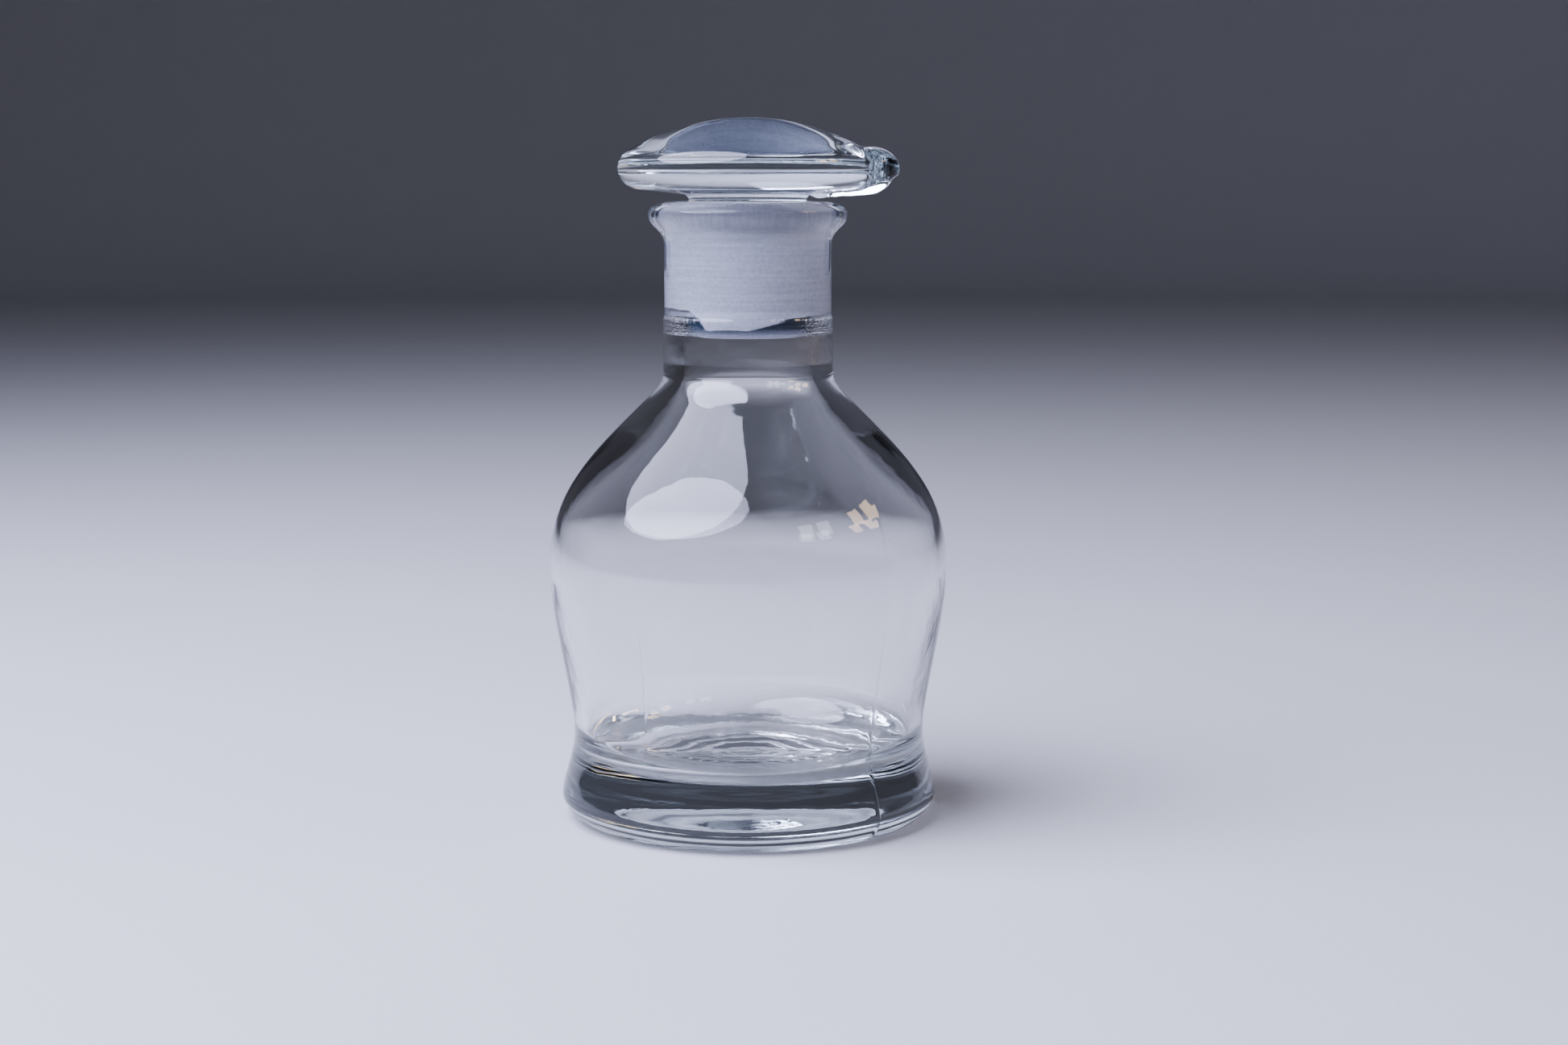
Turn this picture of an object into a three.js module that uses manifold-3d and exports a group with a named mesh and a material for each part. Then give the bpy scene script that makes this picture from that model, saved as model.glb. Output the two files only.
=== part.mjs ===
// A glass dropping bottle: a blown bell-shaped bottle on a solid flared foot, closed by a pressed
// glass stopper with a domed head and a pouring beak. The plug of the stopper and the bore of the
// neck are ground to one taper. Millimetres, +Z up, the beak along +X. The origin is the centre
// of the foot, on the surface that the bottle stands on.
import * as THREE from "three";
import { mergeVertices } from "three/addons/utils/BufferGeometryUtils.js";
import Module from "manifold-3d";

const wasm = await Module();
wasm.setup();

// Heights of the bottle's stretches, from the standing surface upwards.
const footHeight = 11.0; // standing surface to the waist above the foot
const bellyHeight = 21.2; // waist to the widest ring of the body
const shoulderHeight = 22.8; // widest ring to the corner where shoulder and neck would meet
const neckHeight = 16.9; // that corner to the underside of the rim
const rimHeight = 5.55; // underside of the rim to the mouth

// The ground joint, which sets the sizes of the neck and of the stopper.
const plugTopRadius = 8.1;
const plugLength = 15.7;
const plugTopDepth = 1.0; // mouth down to the top of the plug's ground surface
const plugEndChamfer = 1.2;
const jointTaper = 0.1; // of the diameter, for each millimetre of length
const jointClearance = 0.08; // between the two ground surfaces, on the radius
const groundDepth = 13.3; // mouth down to the lower edge of the neck's ground bore

// Bottle, radii.
const bodyRadius = 25.0;
const waistRadius = 22.1;
const footRadius = 23.7;
const contactRadius = 21.2; // outer edge of the ring that the bottle stands on
const boreRelief = 0.5; // how far the bore widens below the ground surface
const boreReliefLength = 1.4;
const neckWall = 2.55;
const neckFinishStep = 0.14; // the neck is this much slimmer above its mould joint
const neckFinishHeight = 9.0; // mould joint to the underside of the rim
const neckFinishLength = 0.7; // height over which the neck slims there
const rimFlare = 1.8; // rim beyond the upper neck
const rimWidestShare = 0.61; // how far up the rim its widest ring is
const lipRound = 0.7; // rounding of the mouth's inner edge

// Bottle, walls and base.
const waistWall = 1.6;
const bellyWall = 1.0;
const floorThickness = 7.2; // standing surface to the lowest ring of the floor
const floorRise = 0.7; // centre of the floor above that ring
const innerHeelRadius = 4.0;
const footWidestHeight = 3.1;
const contactWidth = 1.8; // width of the standing ring
const pushUp = 1.1; // hollow under the foot
const pushUpEdge = 1.2; // width of the hollow's steep edge, inside the standing ring
const shoulderFillet = 1.85; // setback of the fillet between shoulder and neck
const shoulderFullness = 0.41; // share of its height for which the shoulder stays upright
const shoulderSweep = 0.59; // share of its width over which it runs on to the neck at 45 degrees

// Stopper.
const headRadius = 16.15;
const headGap = 0.75; // mouth to the underside of the head, at the shank
const headHeight = 9.55; // that underside to the top of the dome
const headEdgeHeight = 3.2; // that underside to the head's widest ring
const undersideRise = 0.6; // the underside climbs this much from the shank to its edge
const domeRadius = 29.5;
const shankStep = 0.77; // shank inside the top of the plug, on the radius

// Beak and grooves.
const beakReach = 18.85; // axis to the tip
const beakHalfWidth = 4.0;
const beakRound = 3.2; // length of its rounded end, seen from the side
const beakTop = 5.9; // underside of the head up to the beak's flat top
const beakDrop = 0.5; // the beak's sides hang this much below the head, at the shank
const beakLift = 0.85; // and rise this much from there to the tip's round
const beakNoseHeight = 3.2; // underside of the head up to the tip
const beakNoseRound = 1.5; // how far above and below the tip its end stays upright
const beakEndSagitta = 1.8; // bulge of the beak's end, seen from above
const channelRadius = 2.1; // trough under the beak
const grooveRadius = 1.2; // grooves of plug and neck
const grooveDepth = 1.0;
const plugGrooveLength = 11.5; // from the plug's lower end
const neckGrooveDepth = 9.0; // mouth down to the end of the neck's grooves

// Worked out from the values above.
const waistZ = footHeight;
const widestZ = waistZ + bellyHeight;
const neckBaseZ = widestZ + shoulderHeight;
const rimBaseZ = neckBaseZ + neckHeight;
const mouthZ = rimBaseZ + rimHeight;
const plugTopZ = mouthZ - plugTopDepth;
const plugEndZ = plugTopZ - plugLength;
const groundEndZ = mouthZ - groundDepth;
const groundEndRadius = boreRadiusAt(groundEndZ);
const boreRadius = groundEndRadius + boreRelief;
const neckRadius = boreRadius + neckWall;
const upperNeckRadius = neckRadius - neckFinishStep;
const rimRadius = upperNeckRadius + rimFlare;
const undersideZ = mouthZ + headGap;
const headTopZ = undersideZ + headHeight;
const shankRadius = plugTopRadius - shankStep;
const beakRootX = 0.9 * shankRadius; // inside the shank, so that the two join
const beakRoundX = beakReach - beakRound;

const segments = 48; // around the axis
const curveSteps = 6; // along one curve of a profile

function plugRadiusAt(z) {
  return plugTopRadius + ((z - plugTopZ) * jointTaper) / 2;
}

function boreRadiusAt(z) {
  return plugRadiusAt(z) + jointClearance;
}

const point = (r, z) => new THREE.Vector2(r, z);

// Points along a curve, without its first one, so that curves follow each other in a profile.
function along(curve, steps = curveSteps) {
  return curve.getPoints(steps).slice(1);
}

function bezier(a, b, c, d) {
  return new THREE.CubicBezierCurve(point(...a), point(...b), point(...c), point(...d));
}

// A curve between two radii that is upright at both ends.
function upright([r0, z0], [r1, z1], leave, arrive) {
  const rise = z1 - z0;
  return bezier([r0, z0], [r0, z0 + leave * rise], [r1, z1 - arrive * rise], [r1, z1]);
}

// The waist, belly and shoulder as three curves, up to the start of the neck.
function bodyCurves() {
  const conePoint = (setback) => [neckRadius + setback, neckBaseZ - setback];
  const coneReach = shoulderSweep * (bodyRadius - neckRadius);
  return [
    upright([waistRadius, waistZ], [bodyRadius, widestZ], 0.21, 0.33),
    bezier(
      [bodyRadius, widestZ],
      [bodyRadius, widestZ + shoulderFullness * shoulderHeight],
      conePoint(coneReach),
      conePoint(shoulderFillet),
    ),
    bezier(
      conePoint(shoulderFillet),
      conePoint(shoulderFillet / 3),
      [neckRadius, neckBaseZ + shoulderFillet / 4],
      [neckRadius, neckBaseZ + 0.7 * shoulderFillet],
    ),
  ];
}

// Wall thickness at a height: thick at the waist and neck, thin at the widest ring.
function wallAt(z) {
  if (z < widestZ) {
    const share = THREE.MathUtils.smoothstep(z, waistZ, widestZ);
    return THREE.MathUtils.lerp(waistWall, bellyWall, share);
  }
  const share = THREE.MathUtils.smoothstep(z, widestZ, neckBaseZ);
  return THREE.MathUtils.lerp(bellyWall, neckWall, share);
}

// The inside of the body: the outer curves moved inwards by the wall.
function innerBody() {
  const points = [];
  for (const curve of bodyCurves()) {
    for (let i = 0; i <= curveSteps; i++) {
      const p = curve.getPoint(i / curveSteps);
      const t = curve.getTangent(i / curveSteps);
      const wall = wallAt(p.y);
      points.push(point(p.x - t.y * wall, p.y + t.x * wall));
    }
  }
  const lowest = floorThickness + innerHeelRadius;
  return points.filter(
    (p, i) => p.y > lowest && p.x > boreRadius && (i === 0 || p.distanceTo(points[i - 1]) > 0.05),
  );
}

// Outside of the bottle, from the centre of its base to the crest of the mouth.
function bottleOutside() {
  const standingInner = contactRadius - contactWidth;
  const foot = [
    point(0, pushUp),
    point(0.55 * standingInner, 0.8 * pushUp),
    point(standingInner - pushUpEdge, 0.25 * pushUp),
    point(standingInner, 0),
    point(contactRadius, 0),
    ...along(
      bezier(
        [contactRadius, 0],
        [contactRadius + 0.4 * (footRadius - contactRadius), 0.18 * footWidestHeight],
        [footRadius, 0.65 * footWidestHeight],
        [footRadius, footWidestHeight],
      ),
    ),
    ...along(upright([footRadius, footWidestHeight], [waistRadius, waistZ], 0.19, 0.35)),
  ];
  const finishZ = rimBaseZ - neckFinishHeight;
  const rimWidestZ = rimBaseZ + rimWidestShare * rimHeight;
  const crestRadius = boreRadiusAt(plugTopZ) + lipRound;
  return [
    ...foot,
    ...bodyCurves().flatMap((curve) => along(curve)),
    point(neckRadius, finishZ),
    point(upperNeckRadius, finishZ + neckFinishLength),
    point(upperNeckRadius, rimBaseZ),
    ...along(upright([upperNeckRadius, rimBaseZ], [rimRadius, rimWidestZ], 0.38, 0.38)),
    ...along(
      bezier(
        [rimRadius, rimWidestZ],
        [rimRadius, THREE.MathUtils.lerp(rimWidestZ, mouthZ, 0.5)],
        [THREE.MathUtils.lerp(crestRadius, rimRadius, 0.5), mouthZ],
        [crestRadius, mouthZ],
      ),
    ),
  ];
}

// Inside of the bottle, from the crest of the mouth down to the centre of the floor.
function bottleInside() {
  const groundTopZ = mouthZ - lipRound;
  const mouth = new THREE.QuadraticBezierCurve(
    point(boreRadiusAt(plugTopZ) + lipRound, mouthZ),
    point(boreRadiusAt(groundTopZ), mouthZ),
    point(boreRadiusAt(groundTopZ), groundTopZ),
  );
  const body = innerBody().reverse();
  const wallFoot = body[body.length - 1];
  const heel = new THREE.QuadraticBezierCurve(
    wallFoot,
    point(wallFoot.x, floorThickness),
    point(wallFoot.x - innerHeelRadius, floorThickness),
  );
  const floor = bezier(
    [wallFoot.x - innerHeelRadius, floorThickness],
    [0.6 * wallFoot.x, floorThickness],
    [0.3 * wallFoot.x, floorThickness + floorRise],
    [0, floorThickness + floorRise],
  );
  return [
    ...along(mouth, 3),
    point(groundEndRadius, groundEndZ),
    point(boreRadius, groundEndZ - boreReliefLength),
    point(boreRadius, body[0].y + 0.5),
    ...body,
    ...along(heel),
    ...along(floor, 4),
  ];
}

// Stopper without its beak, from the centre of the plug's end to the top of the dome.
function stopperProfile() {
  const edgeZ = undersideZ + headEdgeHeight;
  const domeEdgeRadius = 0.875 * headRadius;
  const dome = (r) => headTopZ - domeRadius + Math.sqrt(domeRadius ** 2 - r ** 2);
  const domeSlope = domeEdgeRadius / (dome(domeEdgeRadius) - headTopZ + domeRadius);
  const edgeReach = headRadius - domeEdgeRadius;
  const domeSteps = 5;
  const undersideEdge = 0.8 * headRadius;
  return [
    point(0, plugEndZ),
    point(plugRadiusAt(plugEndZ) - plugEndChamfer, plugEndZ),
    point(plugRadiusAt(plugEndZ + plugEndChamfer), plugEndZ + plugEndChamfer),
    point(plugTopRadius, plugTopZ),
    point(shankRadius, plugTopZ + shankStep),
    point(shankRadius, undersideZ - 0.25),
    point(shankRadius + 0.4, undersideZ),
    point(undersideEdge, undersideZ + undersideRise),
    ...along(
      bezier(
        [undersideEdge, undersideZ + undersideRise],
        [undersideEdge + 0.62 * (headRadius - undersideEdge), undersideZ + 1.15 * undersideRise],
        [headRadius, edgeZ - 0.4 * headEdgeHeight],
        [headRadius, edgeZ],
      ),
    ),
    ...along(
      bezier(
        [headRadius, edgeZ],
        [headRadius, THREE.MathUtils.lerp(edgeZ, dome(domeEdgeRadius), 0.55)],
        [
          domeEdgeRadius + 0.45 * edgeReach,
          dome(domeEdgeRadius) - 0.45 * edgeReach * domeSlope,
        ],
        [domeEdgeRadius, dome(domeEdgeRadius)],
      ),
      4,
    ),
    ...Array.from({ length: domeSteps }, (_, i) => {
      const r = domeEdgeRadius * (1 - (i + 1) / domeSteps);
      return point(r, dome(r));
    }),
  ];
}

function lathe(profile) {
  return new THREE.LatheGeometry(profile, segments).rotateX(Math.PI / 2);
}

function toSolid(geometry) {
  const bare = geometry.clone();
  bare.deleteAttribute("normal");
  bare.deleteAttribute("uv");
  const merged = mergeVertices(bare, 1e-4);
  return new wasm.Manifold(
    new wasm.Mesh({
      numProp: 3,
      vertProperties: merged.attributes.position.array,
      triVerts: new Uint32Array(merged.index.array),
    }),
  );
}

function toGeometry(solid) {
  const mesh = solid.getMesh();
  const geometry = new THREE.BufferGeometry();
  geometry.setAttribute("position", new THREE.BufferAttribute(mesh.vertProperties, 3));
  geometry.setIndex(new THREE.BufferAttribute(mesh.triVerts, 1));
  geometry.computeVertexNormals();
  return geometry;
}

// An upright round bar, for cutting a groove.
function uprightBar(x, radius, fromZ, toZ) {
  const bar = new THREE.CylinderGeometry(radius, radius, toZ - fromZ, 16);
  return toSolid(bar.rotateX(Math.PI / 2).translate(x, 0, (fromZ + toZ) / 2));
}

// The beak, as the overlap of its outline from above and its outline from the side.
function beak() {
  const topZ = undersideZ + beakTop;
  const lowZ = undersideZ - beakDrop;
  const noseX = beakReach - beakEndSagitta;
  const plan = new THREE.Shape();
  plan.moveTo(beakRootX, -beakHalfWidth);
  plan.lineTo(noseX, -beakHalfWidth);
  plan.bezierCurveTo(
    beakReach - 0.4 * beakEndSagitta,
    -0.75 * beakHalfWidth,
    beakReach,
    -0.35 * beakHalfWidth,
    beakReach,
    0,
  );
  plan.bezierCurveTo(
    beakReach,
    0.35 * beakHalfWidth,
    beakReach - 0.4 * beakEndSagitta,
    0.75 * beakHalfWidth,
    noseX,
    beakHalfWidth,
  );
  plan.lineTo(beakRootX, beakHalfWidth);
  const fromAbove = new THREE.ExtrudeGeometry(plan, {
    depth: 2 * headHeight,
    bevelEnabled: false,
    curveSegments: 6,
  }).translate(0, 0, lowZ - 1);

  const side = new THREE.Shape();
  const noseZ = undersideZ + beakNoseHeight;
  side.moveTo(beakRootX, lowZ);
  side.lineTo(beakRoundX, lowZ + beakLift);
  side.bezierCurveTo(
    beakRoundX + 0.55 * beakRound,
    lowZ + 1.4 * beakLift,
    beakReach,
    noseZ - beakNoseRound,
    beakReach,
    noseZ,
  );
  side.bezierCurveTo(
    beakReach,
    noseZ + beakNoseRound,
    beakReach - 0.4 * beakRound,
    topZ,
    beakRoundX,
    topZ,
  );
  side.lineTo(beakRootX, topZ);
  const fromSide = new THREE.ExtrudeGeometry(side, {
    depth: 4 * beakHalfWidth,
    bevelEnabled: false,
    curveSegments: 7,
  })
    .rotateX(Math.PI / 2)
    .translate(0, 2 * beakHalfWidth, 0);
  return toSolid(fromAbove).intersect(toSolid(fromSide));
}

// The trough that leads the liquid along the underside of the beak.
function beakChannel() {
  const startX = shankRadius - 0.5;
  const length = beakReach + 2 - startX;
  const slope = Math.atan2(beakLift, beakRoundX - beakRootX);
  const trough = new THREE.CylinderGeometry(channelRadius, channelRadius, length, 20)
    .rotateZ(-Math.PI / 2)
    .translate(length / 2, 0, 0)
    .rotateY(-slope)
    .translate(startX, 0, undersideZ - beakDrop);
  return toSolid(trough);
}

function makeBottle() {
  let bottle = toSolid(lathe([...bottleOutside(), ...bottleInside()]));
  const centre = boreRadiusAt(mouthZ - neckGrooveDepth) + grooveDepth - grooveRadius;
  for (const side of [-1, 1]) {
    bottle = bottle.subtract(
      uprightBar(side * centre, grooveRadius, mouthZ - neckGrooveDepth, mouthZ + 1),
    );
  }
  return toGeometry(bottle);
}

function makeStopper() {
  let stopper = toSolid(lathe(stopperProfile())).add(beak()).subtract(beakChannel());
  const centre = plugRadiusAt(plugEndZ) - grooveDepth + grooveRadius;
  for (const side of [-1, 1]) {
    stopper = stopper.subtract(
      uprightBar(side * centre, grooveRadius, plugEndZ - 1, plugEndZ + plugGrooveLength),
    );
  }
  return toGeometry(stopper);
}

function piece(name, geometry, colour, roughness) {
  const material = new THREE.MeshStandardMaterial({
    color: colour,
    roughness,
    metalness: 0,
    transparent: true,
    opacity: 0.35,
  });
  const mesh = new THREE.Mesh(geometry, material);
  mesh.name = name;
  return mesh;
}

const droppingBottle = new THREE.Group();
droppingBottle.add(piece("bottle", makeBottle(), "#e4e8ee", 0.04));
droppingBottle.add(piece("stopper", makeStopper(), "#dfe3ee", 0.08));

export default droppingBottle;
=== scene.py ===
"""Clear glass dropping bottle with a ground-in stopper, modelled and finished around its CAD frame.

The bottle is one blown piece and the stopper one pressed piece. Lengths are in metres, +Z is up,
the beak points along +X and the bottle stands on z = 0.
"""

import math

import bmesh
import bpy
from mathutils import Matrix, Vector, noise
from mathutils.geometry import interpolate_bezier


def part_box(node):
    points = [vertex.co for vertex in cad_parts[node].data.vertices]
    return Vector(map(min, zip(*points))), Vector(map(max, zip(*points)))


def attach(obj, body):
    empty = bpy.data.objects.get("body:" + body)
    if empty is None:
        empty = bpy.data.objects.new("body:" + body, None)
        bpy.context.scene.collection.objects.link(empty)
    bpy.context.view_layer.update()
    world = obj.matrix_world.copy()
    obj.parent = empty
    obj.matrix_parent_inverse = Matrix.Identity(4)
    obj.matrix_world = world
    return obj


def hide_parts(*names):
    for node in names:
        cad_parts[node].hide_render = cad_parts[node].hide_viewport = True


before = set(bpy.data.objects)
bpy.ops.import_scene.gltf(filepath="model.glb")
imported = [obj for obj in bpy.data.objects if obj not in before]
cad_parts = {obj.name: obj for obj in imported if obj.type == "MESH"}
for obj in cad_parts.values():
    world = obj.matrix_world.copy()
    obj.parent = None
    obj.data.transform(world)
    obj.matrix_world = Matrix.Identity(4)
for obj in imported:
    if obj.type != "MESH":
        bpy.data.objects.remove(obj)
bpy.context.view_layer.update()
BOTTLE_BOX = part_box("bottle")
STOPPER_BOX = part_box("stopper")

bl_info = {
    "name": "Dropping Bottle",
    "version": (1, 0, 0),
    "blender": (4, 5, 0),
    "location": "3D View > Sidebar > Glassware",
    "description": "Builds a glass dropping bottle, its ground-in stopper and a studio stage",
    "category": "Object",
}

MM = 0.001
FULL_TURN = 2 * math.pi


def linear(hex_value):
    """Turns an sRGB hex colour such as "D8E0F0" into linear red, green and blue."""
    channels = [int(hex_value[i : i + 2], 16) / 255 for i in (0, 2, 4)]
    return [c / 12.92 if c <= 0.04045 else ((c + 0.055) / 1.055) ** 2.4 for c in channels]


def length(name, description, default):
    """A length property in metres."""
    return bpy.props.FloatProperty(
        name=name, description=description, default=default, unit="LENGTH", precision=5
    )


def colour(name, description, hex_value):
    """A colour property whose default is an sRGB hex value."""
    return bpy.props.FloatVectorProperty(
        name=name, description=description, default=linear(hex_value), subtype="COLOR", min=0, max=1
    )


class BottleSizes(bpy.types.PropertyGroup):
    """Sizes of the blown bottle."""

    body_radius: length("Body radius", "Widest ring of the body", BOTTLE_BOX[1].x)
    mouth_height: length("Height", "Standing surface to the mouth", BOTTLE_BOX[1].z)
    waist_height: length("Waist height", "Standing surface to the waist", 11.0 * MM)
    widest_height: length("Belly height", "Standing surface to the widest ring", 32.2 * MM)
    neck_base_height: length("Neck base", "Where shoulder and neck would meet", 55.0 * MM)
    rim_base_height: length("Rim base", "Standing surface to the underside of the rim", 71.9 * MM)
    waist_radius: length("Waist radius", "Narrowest ring above the foot", 22.1 * MM)
    foot_radius: length("Foot radius", "Widest ring of the foot", 23.7 * MM)
    foot_edge_height: length("Foot edge height", "Height of the foot's widest ring", 3.1 * MM)
    contact_radius: length("Contact radius", "Outer edge of the standing ring", 21.2 * MM)
    contact_width: length("Contact width", "Width of the standing ring", 1.8 * MM)
    push_up: length("Push-up", "Depth of the hollow under the foot", 1.1 * MM)
    neck_radius: length("Neck radius", "Outside of the neck below its mould joint", 10.615 * MM)
    neck_step: length("Neck step", "How much slimmer the neck is above its mould joint", 0.19 * MM)
    finish_height: length("Mould joint", "Mould joint on the neck up to the rim", 9.0 * MM)
    finish_length: length("Mould joint length", "Height over which the neck slims there", 0.7 * MM)
    rim_radius: length("Rim radius", "Widest ring of the rim", 12.4 * MM)
    lip_radius: length("Lip radius", "Crest of the mouth", 8.88 * MM)
    bore_radius: length("Bore radius", "Blown bore below the ground one", 8.065 * MM)
    ground_depth: length("Ground depth", "Mouth down to the lower end of the ground bore", 13.3 * MM)
    relief_length: length("Relief", "Height over which the bore widens below it", 1.4 * MM)
    neck_wall: length("Neck wall", "Wall of the neck", 2.55 * MM)
    belly_wall: length("Belly wall", "Wall at the widest ring", 1.0 * MM)
    waist_wall: length("Waist wall", "Wall at the waist", 1.6 * MM)
    floor_height: length("Floor", "Standing surface to the lowest ring of the floor", 7.2 * MM)
    floor_rise: length("Floor rise", "Centre of the floor above that ring", 0.7 * MM)
    heel_radius: length("Inner heel", "Rounding between wall and floor inside", 4.0 * MM)
    ripple: length("Floor ripple", "Height of the rings left in the floor by the mould", 0.1 * MM)
    seam_height: length("Seam height", "Height of the mould seam", 0.06 * MM)
    seam_width: length("Seam width", "Width of the mould seam", 0.14 * MM)
    wall_wave: length("Wall wave", "Unevenness of the blown inner wall", 0.14 * MM)
    skin_wave: length("Skin wave", "Unevenness of the moulded outer skin", 0.06 * MM)


class StopperSizes(bpy.types.PropertyGroup):
    """Sizes of the pressed stopper."""

    top_height: length("Top", "Standing surface to the top of the dome", STOPPER_BOX[1].z)
    plug_end_height: length("Plug end", "Standing surface to the end of the plug", STOPPER_BOX[0].z)
    head_radius: length("Head radius", "Widest ring of the head", -STOPPER_BOX[0].x)
    edge_height: length("Edge height", "Standing surface to the head's widest ring", 81.4 * MM)
    underside_height: length("Underside", "Underside of the head at the shank", 78.2 * MM)
    plug_top_height: length("Plug top", "Top of the ground plug", 76.45 * MM)
    plug_radius: length("Plug radius", "Radius of the plug at its top", 8.1 * MM)
    plug_chamfer: length("Plug chamfer", "Rounding of the plug's end", 1.2 * MM)
    shank_radius: length("Shank radius", "Radius of the shank above the plug", 7.33 * MM)
    dome_radius: length("Dome radius", "Radius of the sphere that the dome is part of", 29.5 * MM)
    beak_reach: length("Beak reach", "Axis to the tip of the beak", STOPPER_BOX[1].x)
    beak_half_width: length("Beak half width", "Axis to the beak's side", 3.9 * MM)
    beak_drop: length("Beak drop", "How far the beak's sides hang below the head", 0.6 * MM)
    beak_lift: length("Beak lift", "How far the beak's top rises over the head's edge", 0.35 * MM)
    trough_roof: length("Trough roof", "Standing surface to the trough's roof", 80.6 * MM)
    trough_half_width: length("Trough half width", "Middle of the trough to its edge", 2.4 * MM)
    groove_depth: length("Groove depth", "Depth of the dropping grooves", 1.0 * MM)
    groove_half_width: length("Groove half width", "Middle of a dropping groove to its edge", 1.15 * MM)
    plug_groove_length: length("Plug groove", "Length of a groove from the plug's end", 11.5 * MM)
    neck_groove_length: length("Neck groove", "Length of a groove from the mouth", 9.0 * MM)
    joint_gap: length("Joint gap", "Gap between the ground surfaces", 0.08 * MM)
    joint_taper: bpy.props.FloatProperty(
        name="Joint taper", description="Change of diameter along the ground joint", default=0.1
    )


class GlassColours(bpy.types.PropertyGroup):
    """Colours of the glass and of the stage."""

    clear: colour("Clear glass", "Surface colour of the clear glass", "FFFFFF")
    body: colour("Glass body", "What a thick stretch of the glass looks like", "C9D8DC")
    ground: colour("Ground glass", "Colour of the matt ground surface", "F0F2FF")
    paper: colour("Floor", "Colour of the pale floor", "C8C8C9")
    key: colour("Key light", "Colour of the large softbox", "DCE0FF")
    pane: colour("Pane light", "Colour of the cool window panes", "F2F6FF")
    warm: colour("Warm light", "Colour of the warm window panes", "FFDDB8")
    room: colour("Room", "Colour of the dim room around the stage", "4C4F59")


def at(radius, height):
    """A point of a half section, in the XZ plane."""
    return Vector((radius, 0, height))


def arc(start, leave, arrive, end, steps):
    """Points along a curve from start to end with two handles, without the first one."""
    return interpolate_bezier(start, leave, arrive, end, steps + 1)[1:]


def upright(start, end, leave, arrive, steps):
    """Points along a curve that is upright at both ends, without the first one."""
    rise = end.z - start.z
    return arc(start, at(start.x, start.z + leave * rise), at(end.x, end.z - arrive * rise), end, steps)


def straight(start, end, steps):
    """Points along a line from start to end, without the first one."""
    return [start.lerp(end, (i + 1) / steps) for i in range(steps)]


def smooth(value, low, high):
    """0 below low, 1 above high and a smooth step between them."""
    t = min(max((value - low) / (high - low), 0), 1)
    return t * t * (3 - 2 * t)


def blend(a, b, t):
    return a + (b - a) * t


def round_of(place):
    """Distance of a place from the axis."""
    return math.hypot(place.x, place.y)


def plug_radius_at(s, height):
    """Radius of the ground plug at a height."""
    return s.plug_radius + (height - s.plug_top_height) * s.joint_taper / 2


def spin_section(name, section, steps):
    """Draws a half section by extruding one vertex along it, and spins it round the axis."""
    bpy.ops.object.select_all(action="DESELECT")
    bpy.ops.mesh.primitive_plane_add(size=MM, location=section[0])
    piece = bpy.context.object
    piece.name = piece.data.name = name
    bpy.ops.object.mode_set(mode="EDIT")
    bpy.ops.mesh.select_mode(type="VERT")
    bpy.ops.mesh.merge(type="CENTER")
    for here, there in zip(section, section[1:]):
        bpy.ops.mesh.extrude_vertices_move(TRANSFORM_OT_translate={"value": there - here})
    bpy.ops.mesh.select_all(action="SELECT")
    bpy.ops.mesh.spin(steps=steps, angle=FULL_TURN, center=(0, 0, 0), axis=(0, 0, 1))
    bpy.ops.mesh.select_all(action="SELECT")
    bpy.ops.mesh.remove_doubles(threshold=0.005 * MM)
    bpy.ops.mesh.normals_make_consistent(inside=False)
    bpy.ops.object.mode_set(mode="OBJECT")
    settle(piece)
    return piece


def settle(piece):
    """Puts the piece's place into its mesh, so that its object sits at the origin."""
    bpy.ops.object.select_all(action="DESELECT")
    piece.select_set(True)
    bpy.context.view_layer.objects.active = piece
    bpy.ops.object.transform_apply(location=True, rotation=True, scale=True)


def displace(piece, name, strength, weight, direction="NORMAL", clouds=0):
    """Moves vertices by strength times a weight from their place, or by clouds of one wavelength."""
    group = piece.vertex_groups.new(name=name)
    for vertex in piece.data.vertices:
        value = weight(vertex.co, vertex.normal)
        if value > 0:
            group.add([vertex.index], value, "REPLACE")
    modifier = piece.modifiers.new(name, "DISPLACE")
    modifier.vertex_group = name
    modifier.direction = direction
    modifier.strength = strength
    modifier.mid_level = 0
    if clouds:
        modifier.texture = bpy.data.textures.new(name, type="CLOUDS")
        modifier.texture.noise_scale = clouds
        modifier.mid_level = 0.5
    bpy.context.view_layer.objects.active = piece
    bpy.ops.object.modifier_apply(modifier=name)


def give_faces(piece, slot, test):
    """Gives the faces whose centre passes the test the material in a slot."""
    bpy.ops.object.mode_set(mode="EDIT")
    bpy.ops.mesh.select_mode(type="FACE")
    bpy.ops.mesh.select_all(action="DESELECT")
    mesh = bmesh.from_edit_mesh(piece.data)
    for face in mesh.faces:
        if test(face.calc_center_median()):
            face.select = True
    bmesh.update_edit_mesh(piece.data)
    piece.active_material_index = slot
    bpy.ops.object.material_slot_assign()
    bpy.ops.object.mode_set(mode="OBJECT")


# The blown bottle

BOTTLE_STEPS = 192  # round the axis
GROUND_ROWS = 32  # down the ground bore
FLOOR_ROWS = 48  # from the heel to the centre of the floor
FLOOR_RINGS = 5
SHOULDER_FULLNESS = 0.41  # share of its height for which the shoulder stays upright
SHOULDER_SWEEP = 0.59  # share of its width over which it runs on to the neck at 45 degrees
RIM_WIDEST_SHARE = 0.73  # how far up the rim its widest ring is
SEAM_TURN = math.radians(43)
SEAM_SIDE = Vector((math.cos(SEAM_TURN), math.sin(SEAM_TURN), 0))  # across the parting plane
MATT_RUN_OUT = 2.95 * MM  # how far below the ground bore its matt may reach


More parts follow.
